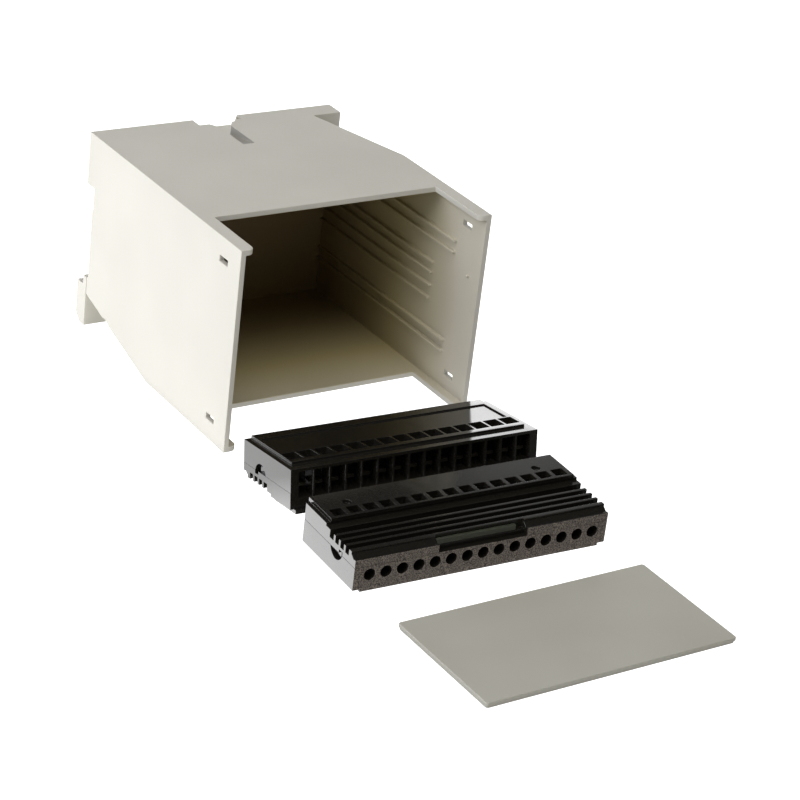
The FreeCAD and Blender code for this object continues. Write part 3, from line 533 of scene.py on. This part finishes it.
# %% Metal pieces
for row in row_frames:
    for node, name, slot, radius_mm, material in (
            ("clamp_screws", "screw_set", "screw_steel", SCREW_EDGE, zinc_screw),
            ("contact_bars", "bar_set", "contact_brass", BAR_EDGE, brass_painted_shade)):
        node = "%s_%s" % (row, node)
        piece = rounded_copy(node, "%s_%s" % (row, name), radius_mm, material)
        finish_piece(piece, BODY, [node])
        print(piece.name, len(piece.data.polygons))
    along = row_frames[row].to_3x3() @ Vector((PITCH * MM, 0, 0))
    first = rounded_copy(row + "_clamp_cage_01", row + "_cage_01", CAGE_EDGE, zinc_cage)
    for index in range(POLES):
        cage = first
        if index:
            cage = bpy.data.objects.new("%s_cage_%02d" % (row, index + 1), first.data.copy())
            bpy.context.scene.collection.objects.link(cage)
            cage.data.transform(Matrix.Translation(along * index))
        finish_piece(cage, BODY, ["%s_clamp_cage_%02d" % (row, index + 1)])
    print(row, "cages of", len(first.data.polygons), "faces")

# %% [markdown]
# ## Table and light
# A render can do the same on its stage: the sheet shines white for the camera, while the
# pieces are lit by, and mirror, the brightness that the real sheet had in each place. Zones of
# the sheet and of the world behind it hold these, each with a soft edge between two distances.
# Three softboxes hang above, on the left and in front, and reach a short way into the housing.

# %% Sheet
WHITE = (1.0, 1.0, 1.0, 1)
CAMERA_SEES = 1.5
# the soft edges of the sheet's zones, in metres along X or Y
KIT_LEFT, ENTRIES, HOUSING_FRONT, KIT_BACK = (
    (-0.052, -0.048), (-0.153, -0.149), (-0.095, -0.075), (0.06, 0.16))
# on the left: what lights the pieces and what they mirror, beside the rows and the housing
LEFT_LIGHT, LEFT_MIRRORED = (1.2, 1.7), (4.3, 2.5)
FLOOR_LIGHT, FLOOR_MIRRORED = 1.0, (0.08, 1.5)


def choose(tree, share, first, second):
    """A value that goes from first to second with a share; both may be sockets or numbers."""
    node = add_node(tree, "ShaderNodeMapRange", links={"Value": share})
    for name, value in (("To Min", first), ("To Max", second)):
        if isinstance(value, (int, float)):
            node.inputs[name].default_value = value
        else:
            tree.links.new(value, node.inputs[name])
    return node.outputs[0]


bpy.ops.mesh.primitive_plane_add(size=8, location=(0, 0, -0.0002))
sheet = bpy.context.object
sheet.name = "white_sheet"
paper, sheet_tree, sheet_shader, sheet_place = new_material("white_paper_sheet", Roughness=0.9)
sheet_shader.inputs["Base Color"].default_value = (0, 0, 0, 1)
sheet_shader.inputs["Specular IOR Level"].default_value = 0
sheet_shader.inputs["Emission Color"].default_value = WHITE
sheet_axes = add_node(sheet_tree, "ShaderNodeSeparateXYZ", links={"Vector": sheet_place}).outputs
beyond_left = spread(sheet_tree, sheet_axes["X"], 1, 0, *KIT_LEFT)
beyond_entries = spread(sheet_tree, sheet_axes["Y"], 0, 1, *ENTRIES)
from_left = choose(sheet_tree, beyond_left, 0, beyond_entries)
from_back = spread(sheet_tree, sheet_axes["Y"], 0, 1, *KIT_BACK)
beside_housing = spread(sheet_tree, sheet_axes["Y"], 0, 1, *HOUSING_FRONT)
lights_pieces = choose(sheet_tree, from_left, FLOOR_LIGHT,
                       choose(sheet_tree, beside_housing, *LEFT_LIGHT))
mirrored = choose(sheet_tree, from_left, choose(sheet_tree, from_back, *FLOOR_MIRRORED),
                  choose(sheet_tree, beside_housing, *LEFT_MIRRORED))
rays = add_node(sheet_tree, "ShaderNodeLightPath").outputs
unseen = choose(sheet_tree, rays["Is Glossy Ray"], lights_pieces, mirrored)
sheet_tree.links.new(choose(sheet_tree, rays["Is Camera Ray"], unseen, CAMERA_SEES),
                     sheet_shader.inputs["Emission Strength"])
sheet.data.materials.append(paper)
print(sheet.name, "of", paper.name)

# %% World and softboxes
# the soft edges of the world's zones, by the height, depth and side of a direction
SHEET_HEIGHT, SHEET_DEPTH, ROOF_SIDE = (0.2, 0.3), (0.6, 0.75), (0.522, 0.548)
# what the pieces mirror of the dark room, of the sheet's upper end and of its bright foot,
# and how much light the whole room sheds on them
DARK, SHEET_TOP, SHEET_FOOT = 0.05, 0.75, 4.0
ROOM_LIGHT = 0.12
# the point that the softboxes face, in metres, and the tints of their light
MIDDLE = (0, -0.03, 0.04)
COOL_LIGHT, WARM_LIGHT = (0.96, 0.99, 1.09), (1.03, 1.0, 0.94)

world = bpy.data.worlds.new("dark_room")
world.use_nodes = True
bpy.context.scene.world = world
sky = world.node_tree
sky.nodes.clear()
direction = add_node(sky, "ShaderNodeTexCoord").outputs["Generated"]
sky_axes = add_node(sky, "ShaderNodeSeparateXYZ", links={"Vector": direction}).outputs
low = spread(sky, sky_axes["Z"], 1, 0, *SHEET_HEIGHT)
behind = spread(sky, sky_axes["Y"], 0, 1, *SHEET_DEPTH)
right_half = spread(sky, sky_axes["X"], 0, 1, *ROOF_SIDE)
upper_end = choose(sky, right_half, DARK, SHEET_TOP)
room = choose(sky, behind, DARK, choose(sky, low, upper_end, SHEET_FOOT))
sky_rays = add_node(sky, "ShaderNodeLightPath").outputs
background = add_node(sky, "ShaderNodeBackground", {"Color": WHITE})
unseen_room = choose(sky, sky_rays["Is Glossy Ray"], ROOM_LIGHT, room)
sky.links.new(choose(sky, sky_rays["Is Camera Ray"], unseen_room, CAMERA_SEES),
              background.inputs["Strength"])
add_node(sky, "ShaderNodeOutputWorld", links={"Surface": background.outputs[0]})


def softbox(name, place, size, power, colour):
    light = bpy.data.lights.new(name, "AREA")
    light.size, light.energy, light.color = size, power, colour
    lamp = bpy.data.objects.new(name, light)
    lamp.location = place
    lamp.rotation_mode = "QUATERNION"
    lamp.rotation_quaternion = (Vector(MIDDLE) - Vector(place)).to_track_quat("-Z", "Y")
    bpy.context.scene.collection.objects.link(lamp)


softbox("softbox_top", (0.4, 0.1, 1.2), 0.9, 0.8, WARM_LIGHT)
softbox("softbox_left", (-0.95, 0, 0.62), 0.9, 9.3, COOL_LIGHT)
softbox("softbox_front", (-0.25, -0.55, 1.3), 0.7, 7, WARM_LIGHT)
print("world", world.name, "and softboxes", len(bpy.data.lights))
